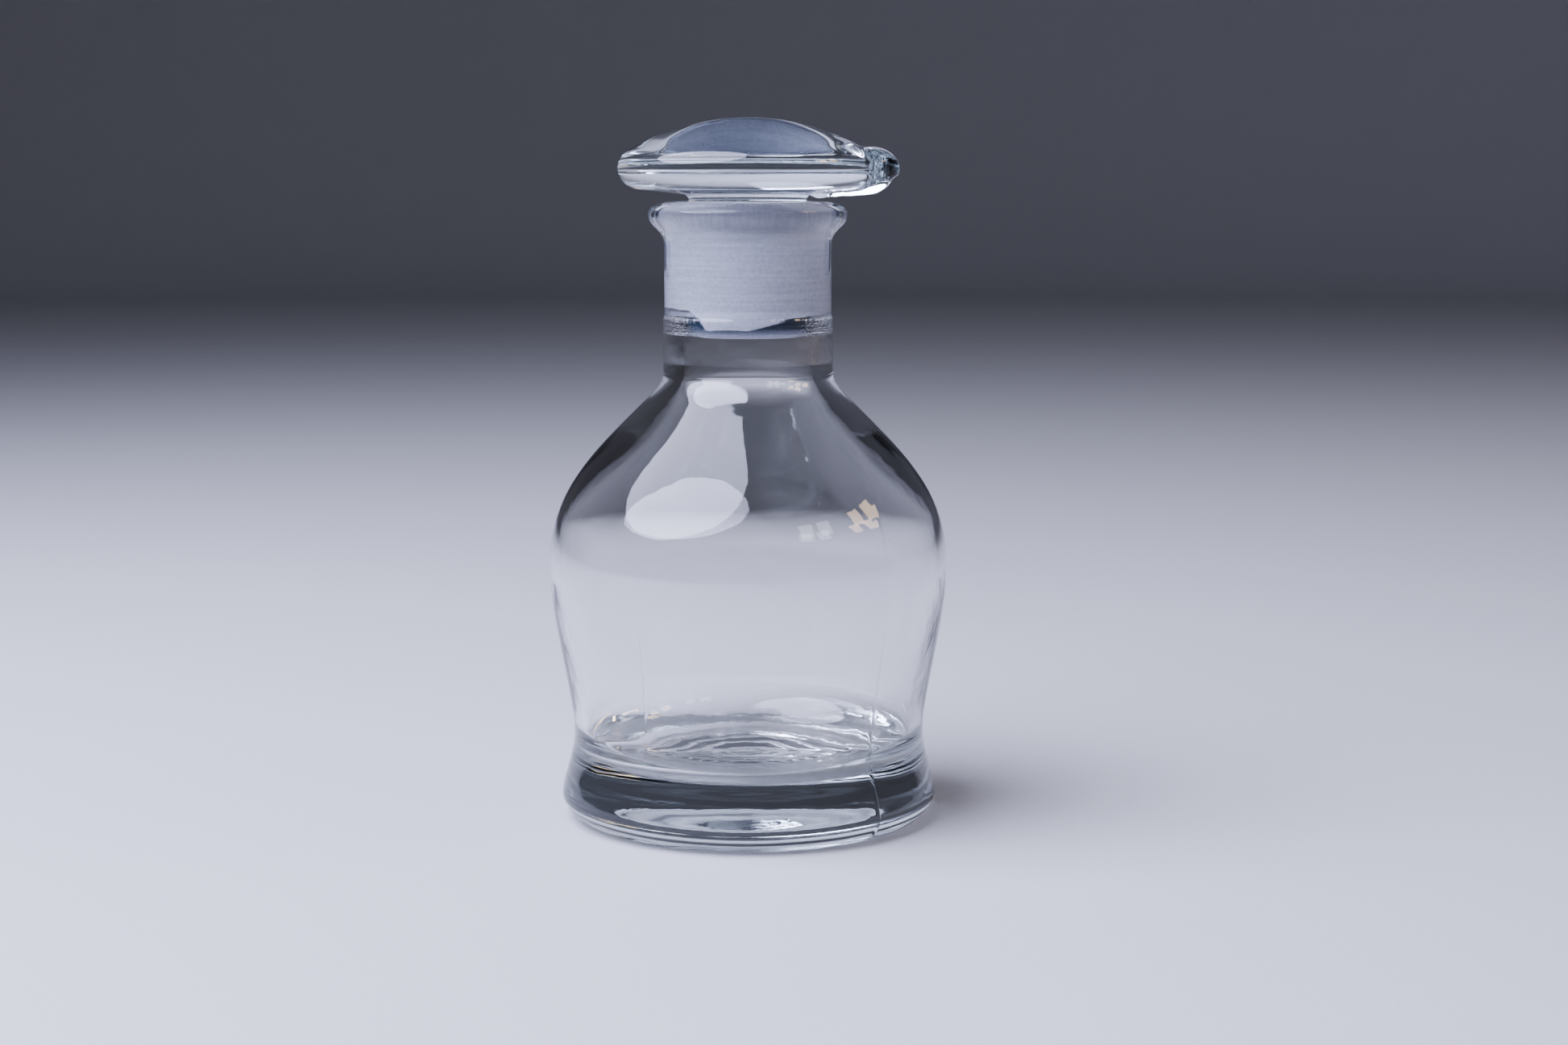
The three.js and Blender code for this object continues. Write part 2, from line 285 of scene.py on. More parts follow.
def foot_section(s):
    """Hollow under the foot, standing ring and foot, up to the waist."""
    ring = s.contact_radius - s.contact_width
    centre = at(0, s.push_up)
    edge = at(s.foot_radius, s.foot_edge_height)
    ring_edge = at(ring, 0.12 * MM)
    contact = at(s.contact_radius - 0.35 * MM, 0)
    return [
        centre,
        *arc(centre, at(0.6 * ring, s.push_up), at(0.88 * ring, 0.5 * s.push_up), ring_edge, 14),
        at(ring + 0.25 * MM, 0),
        contact,
        *arc(
            contact,
            at(s.contact_radius + 0.9 * MM, 0.1 * MM),
            at(s.foot_radius, 0.62 * s.foot_edge_height),
            edge,
            12,
        ),
        *upright(edge, at(s.waist_radius, s.waist_height), 0.19, 0.35, 14),
    ]


def body_section(s):
    """Waist, belly, shoulder and the fillet up to the neck."""
    fillet = 1.85 * MM
    reach = SHOULDER_SWEEP * (s.body_radius - s.neck_radius)
    shoulder_rise = SHOULDER_FULLNESS * (s.neck_base_height - s.widest_height)
    waist = at(s.waist_radius, s.waist_height)
    widest = at(s.body_radius, s.widest_height)

    def cone(setback):
        return at(s.neck_radius + setback, s.neck_base_height - setback)

    neck_start = at(s.neck_radius, s.neck_base_height + 0.7 * fillet)
    neck_leave = at(s.neck_radius, s.neck_base_height + fillet / 4)
    return [
        *upright(waist, widest, 0.21, 0.33, 20),
        *arc(widest, widest + at(0, shoulder_rise), cone(reach), cone(fillet), 24),
        *arc(cone(fillet), cone(fillet / 3), neck_leave, neck_start, 8),
    ]


def neck_section(s):
    """Outside of the neck and the rim, up to the crest of the mouth."""
    slim = s.neck_radius - s.neck_step
    step_low = at(s.neck_radius, s.rim_base_height - s.finish_height)
    step_high = at(slim, step_low.z + s.finish_length)
    neck_top = at(slim, s.rim_base_height)
    widest = at(s.rim_radius, blend(s.rim_base_height, s.mouth_height, RIM_WIDEST_SHARE))
    crest = at(s.lip_radius, s.mouth_height)
    return [
        *straight(at(s.neck_radius, s.neck_base_height + 1.6 * MM), step_low, 8),
        *upright(step_low, step_high, 0.2, 0.4, 5),
        *straight(step_high, neck_top, 8),
        *upright(neck_top, widest, 0.6, 0.5, 16),
        *arc(
            widest,
            at(s.rim_radius, blend(widest.z, s.mouth_height, 0.6)),
            at(blend(crest.x, s.rim_radius, 0.55), s.mouth_height),
            crest,
            16,
        ),
    ]


def wall_at(s, height):
    """Wall thickness at a height: thick at waist and neck, thin and even over the belly."""
    if height < s.widest_height:
        return blend(s.waist_wall, s.belly_wall, smooth(height, s.waist_height, s.widest_height))
    thicker = blend(s.widest_height, s.neck_base_height, 0.25)
    return blend(s.belly_wall, s.neck_wall, smooth(height, thicker, s.neck_base_height))


def inner_body_section(s):
    """The inside of the body, from the neck down: the outer section moved in by the wall."""
    outer = body_section(s)
    inner = []
    for before, here, after in zip(outer, outer[1:], outer[2:]):
        along = (after - before).normalized()
        inner.append(here + Vector((-along.z, 0, along.x)) * wall_at(s, here.z))
    lowest = s.floor_height + s.heel_radius
    return [p for p in reversed(inner) if p.z > lowest and p.x > s.bore_radius + 0.02 * MM]


def floor_at(s, share):
    """Height of the floor at a share of its radius: a low dome with rings left by the mould."""
    dome = s.floor_rise * (1 - smooth(share, 0, 1))
    rings = s.ripple * math.cos(share * FLOOR_RINGS * FULL_TURN)
    return s.floor_height + dome + rings * smooth(share, 0, 0.1) * (1 - smooth(share, 0.82, 1))


def inside_section(s, stopper):
    """From the crest of the mouth down the bore and the wall to the centre of the floor."""
    ground_end = s.mouth_height - s.ground_depth

    def bore(height):
        return at(plug_radius_at(stopper, height) + stopper.joint_gap, height)

    ground_top = bore(s.mouth_height - 0.7 * MM)
    crest = at(s.lip_radius, s.mouth_height)
    body = inner_body_section(s)
    foot = body[-1]
    relief = at(s.bore_radius, ground_end - s.relief_length)
    heel = at(foot.x - s.heel_radius, s.floor_height)
    shares = [1 - i / FLOOR_ROWS for i in range(1, FLOOR_ROWS + 1)]
    return [
        *arc(crest, crest - at(0.45 * MM, 0), ground_top + at(0, 0.4 * MM), ground_top, 8),
        *straight(ground_top, bore(ground_end), GROUND_ROWS),
        *upright(bore(ground_end), relief, 0.35, 0.35, 6),
        *straight(relief, at(s.bore_radius, body[0].z + 0.25 * MM), 4),
        *body,
        *arc(foot, foot - at(0, 0.6 * s.heel_radius), heel + at(0.6 * s.heel_radius, 0), heel, 12),
        *[at(heel.x * share, floor_at(s, share)) for share in shares],
    ]


def cut_bore_grooves(piece, s, stopper):
    """Pushes two upright grooves into the ground bore, under the beak and opposite it."""
    low = s.mouth_height - stopper.neck_groove_length

    for side in (1, -1):

        def groove(place, normal):
            across = place.y / stopper.groove_half_width
            if abs(across) >= 1 or side * place.x < 0 or normal.x * side > 0:
                return 0
            in_bore = smooth(place.z, low - 0.4 * MM, low + 0.4 * MM)
            return math.sqrt(1 - across**2) * in_bore * (1 - smooth(round_of(place), 8.5 * MM, 9 * MM))

        displace(piece, f"bore_groove_{side}", side * stopper.groove_depth, groove, "X")


def raise_seam(piece, s):
    """Cuts three close edges along the mould's parting plane and raises them to a ridge."""
    bpy.ops.object.mode_set(mode="EDIT")
    for offset in (-s.seam_width / 2, 0, s.seam_width / 2):
        bpy.ops.mesh.select_all(action="SELECT")
        bpy.ops.mesh.bisect(plane_co=SEAM_SIDE * offset, plane_no=SEAM_SIDE, threshold=0.001 * MM)
    bpy.ops.object.mode_set(mode="OBJECT")

    def ridge(place, normal):
        if abs(place.dot(SEAM_SIDE)) > 0.02 * MM or not is_outer(place, normal):
            return 0
        fade = 1 - 0.9 * smooth(place.z, 0.3 * s.widest_height, 1.2 * s.widest_height)
        grain = 0.6 + 0.6 * noise.noise(place / (0.9 * MM))
        return fade * grain * smooth(place.z, 0.3 * MM, 1.2 * MM)

    displace(piece, "mould_seam", s.seam_height, ridge)


def is_outer(place, normal):
    """Whether a vertex of the bottle looks away from the axis."""
    return place.x * normal.x + place.y * normal.y > 0


class GLASSWARE_OT_bottle(bpy.types.Operator):
    """Spin, groove and finish the blown bottle"""

    bl_idname = "glassware.bottle"
    bl_label = "Blow Bottle"
    bl_options = {"REGISTER", "UNDO"}

    def execute(self, context):
        s = context.scene.bottle_sizes
        stopper = context.scene.stopper_sizes
        section = foot_section(s) + body_section(s) + neck_section(s) + inside_section(s, stopper)
        piece = spin_section("blown_bottle", section, BOTTLE_STEPS)
        cut_bore_grooves(piece, s, stopper)
        raise_seam(piece, s)

        def below_neck(place):
            return 1 - smooth(place.z, 0.85 * s.neck_base_height, s.neck_base_height)

        def inner_wall(place, normal):
            if is_outer(place, normal):
                return 0
            return smooth(place.z, s.waist_height + 8 * MM, s.waist_height + 24 * MM) * below_neck(place)

        def outer_skin(place, normal):
            if not is_outer(place, normal) or abs(place.dot(SEAM_SIDE)) < s.seam_width:
                return 0
            return smooth(place.z, 0.5 * MM, s.foot_edge_height) * below_neck(place)

        displace(piece, "inner_wall", s.wall_wave, inner_wall, clouds=16 * MM)
        displace(piece, "outer_skin", s.skin_wave, outer_skin, clouds=7 * MM)
        bpy.ops.object.shade_smooth_by_angle(angle=math.radians(50))

        for material in (blown_glass(context), ground_bore(context)):
            piece.data.materials.append(material)
        matt_end = s.mouth_height - s.ground_depth - MATT_RUN_OUT
        give_faces(piece, 1, lambda place: place.z > matt_end and round_of(place) < s.lip_radius - 0.3 * MM)
        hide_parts("bottle")
        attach(piece, "bottle")
        return {"FINISHED"}


# The pressed stopper

STOPPER_STEPS = 180  # round the axis
DOME_ROWS = 20
BROW_SHARE = 0.875  # how far out on the head the dome ends and its rounded edge begins
BEAK_CORNER = math.radians(13.2)  # turn from the middle of the beak to its corner
BEAK_ROOT = math.radians(28)  # and to where its side meets the head
CORNER_SHARE = 0.56  # share of the beak's reach that is left at its corners


def dome_at(s, radius):
    """A point of the dome at a distance from the axis."""
    return at(radius, s.top_height - s.dome_radius + math.sqrt(s.dome_radius**2 - radius**2))


def brow_of(s):
    """Where the dome ends and the rounded edge of the head begins."""
    return dome_at(s, BROW_SHARE * s.head_radius)


def stopper_section(s):
    """Half section, from the centre of the plug's end to the top of the dome."""
    low = s.plug_end_height
    under = s.underside_height
    end = plug_radius_at(s, low)
    round_start = at(end - s.plug_chamfer, low)
    side_start = at(plug_radius_at(s, low + s.plug_chamfer), low + s.plug_chamfer)
    side_end = at(s.plug_radius, s.plug_top_height - 0.1 * MM)
    shank_low = at(s.shank_radius, s.plug_top_height + 0.6 * MM)
    shank_high = at(s.shank_radius, under - 0.55 * MM)
    fillet_end = at(s.shank_radius + 0.85 * MM, under + 0.08 * MM)
    edge_start = at(0.8 * s.head_radius, under + 0.6 * MM)
    widest = at(s.head_radius, s.edge_height)
    brow = brow_of(s)
    slope = brow.x / (brow.z - s.top_height + s.dome_radius)
    reach = s.head_radius - brow.x
    return [
        at(0, low),
        *straight(at(0, low), round_start, 5),
        *arc(
            round_start,
            round_start + at(0.5 * s.plug_chamfer, 0.03 * MM),
            side_start - at(0.02 * MM, 0.5 * s.plug_chamfer),
            side_start,
            6,
        ),
        *straight(side_start, side_end, 26),
        *arc(side_end, side_end + at(0, 0.2 * MM), side_end + at(-0.15 * MM, 0.3 * MM), shank_low, 5),
        *straight(shank_low, shank_high, 3),
        *arc(shank_high, shank_high + at(0, 0.4 * MM), fillet_end - at(0.45 * MM, 0.04 * MM), fillet_end, 5),
        *straight(fillet_end, edge_start, 14),
        *arc(
            edge_start,
            edge_start + at(0.62 * (s.head_radius - edge_start.x), 0.09 * MM),
            widest - at(0, 1.28 * MM),
            widest,
            16,
        ),
        *arc(
            widest,
            at(widest.x, blend(widest.z, brow.z, 0.55)),
            at(brow.x + 0.45 * reach, brow.z - 0.45 * reach * slope),
            brow,
            16,
        ),
        *[dome_at(s, brow.x * (1 - i / DOME_ROWS)) for i in range(1, DOME_ROWS + 1)],
    ]


def beak_share(place):
    """1 along the middle of the beak, less towards its corners, then a hollow curve to nothing."""
    turn = abs(math.atan2(place.y, place.x))
    if turn < BEAK_CORNER:
        return 1 - (1 - CORNER_SHARE) * (turn / BEAK_CORNER) ** 2.2
    if turn < BEAK_ROOT:
        return CORNER_SHARE * (1 - (turn - BEAK_CORNER) / (BEAK_ROOT - BEAK_CORNER)) ** 3.2
    return 0


def pull_beak(piece, s):
    """Pulls the head out to a beak on one side, and hollows the trough under it."""
    brow = brow_of(s)
    edge = s.edge_height
    under = s.underside_height

    def reach(place, normal):
        radius = round_of(place)
        if place.z < under - 0.1 * MM:
            return 0
        if place.z < edge:
            return beak_share(place) * smooth(radius, 8.6 * MM, 13.2 * MM)
        inset = max(s.head_radius - radius, 0) / (s.head_radius - brow.x)
        return beak_share(place) * (1 - inset**1.8) if inset < 1 else 0

    def drop(place, normal):
        if place.z < under - 0.1 * MM or place.z > edge or place.x < 0:
            return 0
        root = smooth(round_of(place), 8.1 * MM, 9.4 * MM)
        end = 1 - smooth(place.z, under + 0.7 * MM, under + 2.0 * MM)
        side = 1 - smooth(abs(place.y), s.beak_half_width - 0.5 * MM, s.beak_half_width + 0.7 * MM)
        return root * end * side

    def lift(place, normal):
        radius = round_of(place)
        if place.z < edge:
            return 0
        rise = smooth(radius, brow.x, brow.x + 0.6 * MM)
        return beak_share(place) * rise * (1 - smooth(radius, brow.x + 0.8 * MM, s.head_radius - 0.1 * MM))

    displace(piece, "beak_drop", -s.beak_drop, drop, "Z")
    displace(piece, "beak_lift", s.beak_lift, lift, "Z")
    displace(piece, "beak_reach", s.beak_reach - s.head_radius, reach, "X")
    full = s.trough_roof - under + s.beak_drop

    def trough(place, normal):
        if place.x < 8 * MM or place.z < under - 2 * s.beak_drop:
            return 0
        roof = blend(under, s.trough_roof, smooth(place.x, 8 * MM, 11 * MM))
        side = 1 - smooth(abs(place.y), 0.25 * s.trough_half_width, s.trough_half_width)
        return side * max(roof - place.z, 0) / full

    displace(piece, "trough", full, trough, "Z")


def cut_plug_grooves(piece, s):
    """Cuts two upright grooves into the plug, under the beak and opposite it."""
    top = s.plug_end_height + s.plug_groove_length

    for side in (1, -1):

        def groove(place, normal):
            across = place.y / s.groove_half_width
            if abs(across) >= 1 or side * place.x < 0 or round_of(place) < 6 * MM:
                return 0
            return math.sqrt(1 - across**2) * (1 - smooth(place.z, top - 0.6 * MM, top + 0.3 * MM))

        displace(piece, f"plug_groove_{side}", -side * s.groove_depth, groove, "X")


class GLASSWARE_OT_stopper(bpy.types.Operator):
    """Spin, pull and groove the solid glass stopper"""

    bl_idname = "glassware.stopper"
    bl_label = "Press Stopper"
    bl_options = {"REGISTER", "UNDO"}

    def execute(self, context):
        s = context.scene.stopper_sizes
        piece = spin_section("pressed_stopper", stopper_section(s), STOPPER_STEPS)
        cut_plug_grooves(piece, s)
        pull_beak(piece, s)
        bpy.ops.object.shade_smooth_by_angle(angle=math.radians(50))

        for material in (pressed_glass(context), ground_plug(context)):
            piece.data.materials.append(material)
        give_faces(piece, 1, lambda place: place.z < s.plug_top_height + 0.6 * MM)
        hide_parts("stopper")
        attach(piece, "stopper")
        return {"FINISHED"}


# Materials


def new_material(name):
    material = bpy.data.materials.new(name)
    material.use_nodes = True
    material.node_tree.nodes.clear()
    return material


def add_node(material, kind, inputs, **settings):
    """Adds a node, sets its properties, sets or links its inputs, and gives back its outputs."""
    node = material.node_tree.nodes.new(kind)
    for name, value in settings.items():
        setattr(node, name, value)
    for name, value in inputs.items():
        if isinstance(value, bpy.types.NodeSocket):
            material.node_tree.links.new(value, node.inputs[name])
        else:
            node.inputs[name].default_value = value
    return node.outputs


def pour_glass(material, context, surface):
    """Ends a glass material: its surface, and the faint tint of the glass body inside."""
    body = {"Color": (*context.scene.glass_colours.body, 1), "Density": 14.0}
    inside = add_node(material, "ShaderNodeVolumeAbsorption", body)["Volume"]
    surface = add_node(material, "ShaderNodeBsdfPrincipled", surface)["BSDF"]
    add_node(material, "ShaderNodeOutputMaterial", {"Surface": surface, "Volume": inside})
    return material


def clear_glass(context, name, wave, skin):
    """Clear soda-lime glass: IOR 1.52, nearly smooth, with a slow wave, a fine skin, a faint
    smear and a few specks of dust of 0.15 mm, which is as coarse as they need to be to show."""
    material = new_material(name)
    place = add_node(material, "ShaderNodeTexCoord", {})["Object"]
    slow = {"Vector": place, "Scale": 1 / (5 * MM)}
    slow = add_node(material, "ShaderNodeTexNoise", slow)["Fac"]
    fine = {"Vector": place, "Scale": 1 / (0.9 * MM), "Detail": 3}
    fine = add_node(material, "ShaderNodeTexNoise", fine)["Fac"]
    slow = add_node(material, "ShaderNodeBump", {"Height": slow, "Distance": wave})["Normal"]
    fine = {"Height": fine, "Distance": skin, "Normal": slow}
    fine = add_node(material, "ShaderNodeBump", fine)["Normal"]
    upright_place = {"Vector": place, "Scale": (1, 1, 0.4)}
    upright_place = add_node(material, "ShaderNodeMapping", upright_place)["Vector"]
    smear = {"Vector": upright_place, "Scale": 1 / (9 * MM), "Detail": 4}
    smear = add_node(material, "ShaderNodeTexNoise", smear)["Fac"]
    smear = {"Value": smear, "From Min": 0.5, "From Max": 0.75, "To Min": 0.006, "To Max": 0.05}
    smear = add_node(material, "ShaderNodeMapRange", smear)["Result"]
    dust = {"Vector": place, "Scale": 1 / (3.5 * MM)}
    dust = add_node(material, "ShaderNodeTexVoronoi", dust)["Distance"]
    dust = {"Value": dust, "From Min": 0.024, "From Max": 0.016, "To Max": 0.6}
    dust = add_node(material, "ShaderNodeMapRange", dust)["Result"]
    surface = {
        "Base Color": (*context.scene.glass_colours.clear, 1),
        "Roughness": add_node(material, "ShaderNodeMath", {0: smear, 1: dust}, operation="ADD")[0],
        "IOR": 1.52,
        "Transmission Weight": 1.0,
        "Normal": fine,
    }
    return pour_glass(material, context, surface)


def blown_glass(context):
    """Soda-lime glass blown in an iron mould: a fire-bright skin with a slight orange peel."""
    return clear_glass(context, "soda_lime_glass_mould_blown", 0.02 * MM, 0.003 * MM)


def pressed_glass(context):
    """Soda-lime glass pressed and fire-polished: brighter and calmer than the blown skin."""
    return clear_glass(context, "soda_lime_glass_pressed", 0.015 * MM, 0.0015 * MM)


def ground_glass(context, material, inside, ragged, matt_share, clearness):
    """Soda-lime glass ground with carborundum: white and matt, with a grit of 0.4 mm, drawn
    coarser than the real 0.05 mm so that it shows, and rings from the turning tool. It reaches
    to where inside, the distance within its edge in metres, is nothing, and is clear beyond.
    clearness is the share of the light that the matt surface lets through."""
    place = add_node(material, "ShaderNodeTexCoord", {})["Object"]
    rag = {"Vector": place, "Scale": 1 / (2.2 * MM), "Detail": 5, "Roughness": 0.65}
    rag = add_node(material, "ShaderNodeTexNoise", rag)["Fac"]
    edge = {0: rag, 1: ragged, 2: inside}
    edge = add_node(material, "ShaderNodeMath", edge, operation="MULTIPLY_ADD")[0]
    matt = {"Value": edge, "From Min": ragged / 2, "From Max": ragged / 2 + 0.12 * MM}
    matt = add_node(material, "ShaderNodeMapRange", matt)["Result"]
    matt = add_node(material, "ShaderNodeMath", {0: matt, 1: matt_share}, operation="MULTIPLY")[0]
    grit = {"Vector": place, "Scale": 1 / (0.4 * MM), "Detail": 3, "Roughness": 0.7}
    grit = add_node(material, "ShaderNodeTexNoise", grit)["Fac"]
    flat_place = {"Vector": place, "Scale": (0.03, 0.03, 1)}
    flat_place = add_node(material, "ShaderNodeMapping", flat_place)["Vector"]
    rings = {"Vector": flat_place, "Scale": 1 / (0.3 * MM), "Detail": 3}
    rings = add_node(material, "ShaderNodeTexNoise", rings)["Fac"]
    marks = {0: rings, 1: 0.8, 2: grit}
    marks = add_node(material, "ShaderNodeMath", marks, operation="MULTIPLY_ADD")[0]
    tone = {"Value": marks, "From Min": 0.7, "From Max": 1.05}
    tone = add_node(material, "ShaderNodeMapRange", tone)["Result"]
    white = Vector(context.scene.glass_colours.ground)
    shade = {"Factor": tone, "A": (*(white * 0.8), 1), "B": (*white, 1)}
    clearness = {"Value": matt, "To Min": 1.0, "To Max": clearness}
    surface = {
        "Base Color": add_node(material, "ShaderNodeMix", shade, data_type="RGBA")["Result"],
        "Roughness": add_node(material, "ShaderNodeMath", {0: matt, 1: 0.5}, operation="MULTIPLY")[0],
        "IOR": 1.52,
        "Transmission Weight": add_node(material, "ShaderNodeMapRange", clearness)["Result"],
        "Normal": add_node(material, "ShaderNodeBump", {"Height": marks, "Distance": 0.06 * MM})["Normal"],
    }
    return pour_glass(material, context, surface)


def ground_bore(context):
    """The ground bore: its matt ends higher towards +X, with a chip at -X, and is worn a third
    clear inside the rim."""
    s = context.scene.bottle_sizes
    material = new_material("soda_lime_glass_ground_bore")
    place = add_node(material, "ShaderNodeTexCoord", {})["Object"]
    split = add_node(material, "ShaderNodeSeparateXYZ", {"Vector": place})
    low_edge = s.mouth_height - s.ground_depth - 2.4 * MM
    chip = {"Value": split["X"], "From Min": -4.5 * MM, "From Max": -6.2 * MM, "To Max": -2.4 * MM}
    chip = add_node(material, "ShaderNodeMapRange", chip)["Result"]
    slope = {"Value": split["X"], "From Max": 8 * MM, "To Max": -1.76 * MM}
    slope = add_node(material, "ShaderNodeMapRange", slope)["Result"]
    line = add_node(material, "ShaderNodeMath", {0: chip, 1: slope}, operation="ADD")[0]
    line = add_node(material, "ShaderNodeMath", {0: line, 1: split["Z"]}, operation="ADD")[0]
    inside = add_node(material, "ShaderNodeMath", {0: line, 1: low_edge}, operation="SUBTRACT")[0]
    worn = {
        "Value": split["Z"],
        "From Min": s.rim_base_height + 0.2 * MM,
        "From Max": s.rim_base_height + 0.9 * MM,
        "To Min": 1.0,
        "To Max": 0.7,
    }
    worn = add_node(material, "ShaderNodeMapRange", worn)["Result"]
    return ground_glass(context, material, inside, 0.6 * MM, worn, 0.2)


def ground_plug(context):
    """The ground plug: its matt runs out in tatters on the shank, and is whitest at its end."""
    s = context.scene.stopper_sizes
    material = new_material("soda_lime_glass_ground_plug")
    place = add_node(material, "ShaderNodeTexCoord", {})["Object"]
    split = add_node(material, "ShaderNodeSeparateXYZ", {"Vector": place})
    run_out = {0: s.plug_top_height + 0.25 * MM, 1: split["Z"]}
    inside = add_node(material, "ShaderNodeMath", run_out, operation="SUBTRACT")[0]
    end = s.plug_end_height
    clearness = {"Value": split["Z"], "From Min": end + 2 * MM, "From Max": end + 5 * MM, "To Max": 0.5}
    clearness = add_node(material, "ShaderNodeMapRange", clearness)["Result"]
    return ground_glass(context, material, inside, 1.1 * MM, 1.0, clearness)


def stage_paper(context):
    """Matt seamless paper: no gloss, with a faint tooth and a slight unevenness of tone."""
    material = new_material("seamless_paper_matt")
    place = add_node(material, "ShaderNodeTexCoord", {})["Object"]
    tone = {"Vector": place, "Scale": 1 / (60 * MM), "Detail": 3}
    tone = add_node(material, "ShaderNodeTexNoise", tone)["Fac"]
    tooth = {"Vector": place, "Scale": 1 / (0.5 * MM)}
    tooth = add_node(material, "ShaderNodeTexNoise", tooth)["Fac"]
    paper = Vector(context.scene.glass_colours.paper)
    shade = {"Factor": tone, "A": (*(paper * 0.985), 1), "B": (*(paper * 1.015), 1)}
    surface = {
        "Base Color": add_node(material, "ShaderNodeMix", shade, data_type="RGBA")["Result"],
        "Roughness": 0.85,
        "Specular IOR Level": 0.2,
        "Normal": add_node(material, "ShaderNodeBump", {"Height": tooth, "Distance": 0.03 * MM})["Normal"],
    }
    surface = add_node(material, "ShaderNodeBsdfPrincipled", surface)["BSDF"]
    add_node(material, "ShaderNodeOutputMaterial", {"Surface": surface})
    return material


# The stage

LOOK_AT = Vector((0, 0, 0.045))
KEY_AIM = (-0.51, -0.30, 0.80)
KEY_DISTANCE = 0.5
KEY_SIZE = 0.6
KEY_POWER = 9.5
PANE_RISE = 0.62  # height over the bottle for each metre of distance
PANE_DISTANCE = 1.2
PANE_SIZE = (0.16, 0.2)
COOL_PANES = {"turns": (38, 51), "power": 0.45}
WARM_PANES = {"turns": (77, 90), "power": 0.9}
CAMERA_PLACE = Vector((4.5, -326.9, 79.0)) * MM
CAMERA_PITCH = math.radians(7.28)
BOUNCES = 24  # enough for light to cross the bottle, the plug and back
FLOOR_RADIUS = 1.6
SWEEP_STEPS = 12
SWEEP_STEP = 0.08
WALL_HEIGHT = 1.4
FLOOR_GAP = 0.03 * MM  # keeps the foot's glass and the paper from sharing a surface


def hang_light(name, aim, distance, size, power, tint):
    """A rectangular light that faces the bottle from a direction, unseen by the camera itself."""
    bpy.ops.object.select_all(action="DESELECT")
    aim = Vector(aim).normalized()
    bpy.ops.object.light_add(type="AREA", location=LOOK_AT + aim * distance)
    lamp = bpy.context.object
    lamp.name = name
    lamp.rotation_euler = (-aim).to_track_quat("-Z", "Y").to_euler()
    lamp.data.shape = "RECTANGLE"
    lamp.data.size, lamp.data.size_y = size
    lamp.data.energy = power
    lamp.data.color = tint
    lamp.visible_camera = False
    return lamp


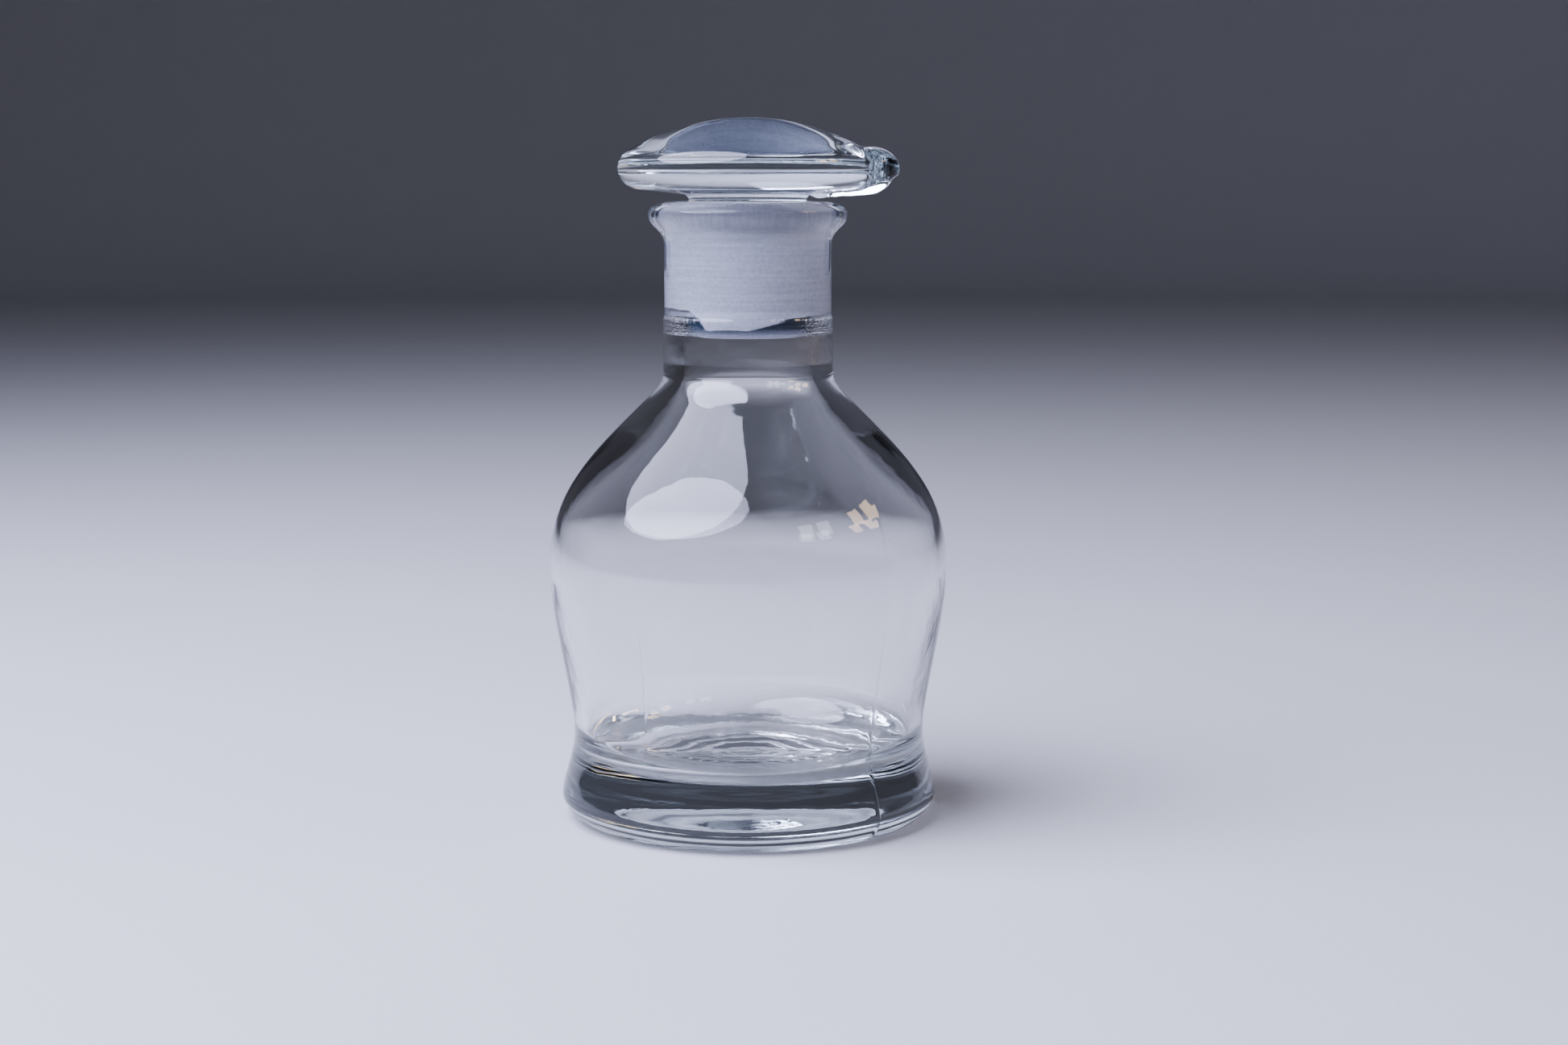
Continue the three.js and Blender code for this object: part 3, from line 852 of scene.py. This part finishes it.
class GLASSWARE_OT_stage(bpy.types.Operator):
    """Lay the floor, hang the lights and place the camera"""

    bl_idname = "glassware.stage"
    bl_label = "Set Stage"
    bl_options = {"REGISTER", "UNDO"}

    def execute(self, context):
        colours = context.scene.glass_colours
        self.lay_floor(context)
        key_size = (KEY_SIZE, KEY_SIZE)
        key = hang_light("key_softbox", KEY_AIM, KEY_DISTANCE, key_size, KEY_POWER, colours.key)
        key.data.shape = "DISK"
        self.hang_panes("cool_pane", COOL_PANES, colours.pane)
        self.hang_panes("warm_pane", WARM_PANES, colours.warm)
        self.light_world(context)
        self.place_camera(context)
        return {"FINISHED"}

    def hang_panes(self, name, panes, tint):
        """The panes of a window to the right, each at a turn in degrees from the front."""
        for i, turn in enumerate(panes["turns"]):
            turn = math.radians(turn)
            aim = (math.sin(turn), -math.cos(turn), PANE_RISE)
            hang_light(f"{name}_{i}", aim, PANE_DISTANCE, PANE_SIZE, panes["power"], tint)

    def lay_floor(self, context):
        """One round sheet of paper: a flat floor that sweeps up on every side, far behind the lights."""
        bpy.ops.object.select_all(action="DESELECT")
        bpy.ops.mesh.primitive_circle_add(
            vertices=96, radius=FLOOR_RADIUS, fill_type="NGON", location=(0, 0, -FLOOR_GAP)
        )
        floor = bpy.context.object
        floor.name = floor.data.name = "paper_floor"
        bpy.ops.object.mode_set(mode="EDIT")
        bpy.ops.mesh.select_mode(type="EDGE")
        bpy.ops.mesh.select_all(action="SELECT")
        bpy.ops.mesh.region_to_loop()
        radius = FLOOR_RADIUS
        bends = [math.radians(90 * (i + 0.5) / SWEEP_STEPS) for i in range(SWEEP_STEPS)]
        steps = [(turn, SWEEP_STEP) for turn in (0, *bends)]
        for turn, step in (*steps, (math.pi / 2, WALL_HEIGHT)):
            wider = radius + math.cos(turn) * step
            rise = (0, 0, math.sin(turn) * step)
            bpy.ops.mesh.extrude_region_move(TRANSFORM_OT_translate={"value": rise})
            bpy.ops.transform.resize(value=(wider / radius, wider / radius, 1))
            radius = wider
        bpy.ops.mesh.select_all(action="SELECT")
        bpy.ops.mesh.normals_make_consistent(inside=True)
        bpy.ops.object.mode_set(mode="OBJECT")
        settle(floor)
        bpy.ops.object.shade_smooth()
        floor.data.materials.append(stage_paper(context))

    def light_world(self, context):
        world = bpy.data.worlds.new("dim_room")
        world.use_nodes = True
        world.node_tree.nodes["Background"].inputs["Color"].default_value = (
            *context.scene.glass_colours.room,
            1,
        )
        context.scene.world = world
        context.scene.cycles.max_bounces = BOUNCES
        context.scene.cycles.transmission_bounces = BOUNCES
        context.scene.cycles.glossy_bounces = BOUNCES // 2
        context.scene.view_settings.look = "AgX - Medium High Contrast"

    def place_camera(self, context):
        bpy.ops.object.camera_add(
            location=CAMERA_PLACE,
            rotation=(math.radians(90) - CAMERA_PITCH, 0, 0),
        )
        camera = bpy.context.object
        camera.data.sensor_width = 36
        camera.data.lens = 60
        camera.data.clip_start = 0.01
        camera.data.clip_end = 50
        context.scene.camera = camera


class GLASSWARE_PT_panel(bpy.types.Panel):
    """Sizes, colours and makers of the dropping bottle"""

    bl_label = "Dropping Bottle"
    bl_idname = "GLASSWARE_PT_panel"
    bl_space_type = "VIEW_3D"
    bl_region_type = "UI"
    bl_category = "Glassware"

    def draw(self, context):
        for group in (context.scene.bottle_sizes, context.scene.stopper_sizes, context.scene.glass_colours):
            box = self.layout.box()
            for name in group.__annotations__:
                box.prop(group, name)
        for operator in (GLASSWARE_OT_bottle, GLASSWARE_OT_stopper, GLASSWARE_OT_stage):
            self.layout.operator(operator.bl_idname)


CLASSES = (
    BottleSizes,
    StopperSizes,
    GlassColours,
    GLASSWARE_OT_bottle,
    GLASSWARE_OT_stopper,
    GLASSWARE_OT_stage,
    GLASSWARE_PT_panel,
)
GROUPS = {
    "bottle_sizes": BottleSizes,
    "stopper_sizes": StopperSizes,
    "glass_colours": GlassColours,
}


def register():
    for cls in CLASSES:
        bpy.utils.register_class(cls)
    for name, group in GROUPS.items():
        setattr(bpy.types.Scene, name, bpy.props.PointerProperty(type=group))


def unregister():
    for name in GROUPS:
        delattr(bpy.types.Scene, name)
    for cls in reversed(CLASSES):
        bpy.utils.unregister_class(cls)


def main():
    register()
    bpy.ops.glassware.bottle()
    bpy.ops.glassware.stopper()
    bpy.ops.glassware.stage()


if __name__ == "__main__":
    main()
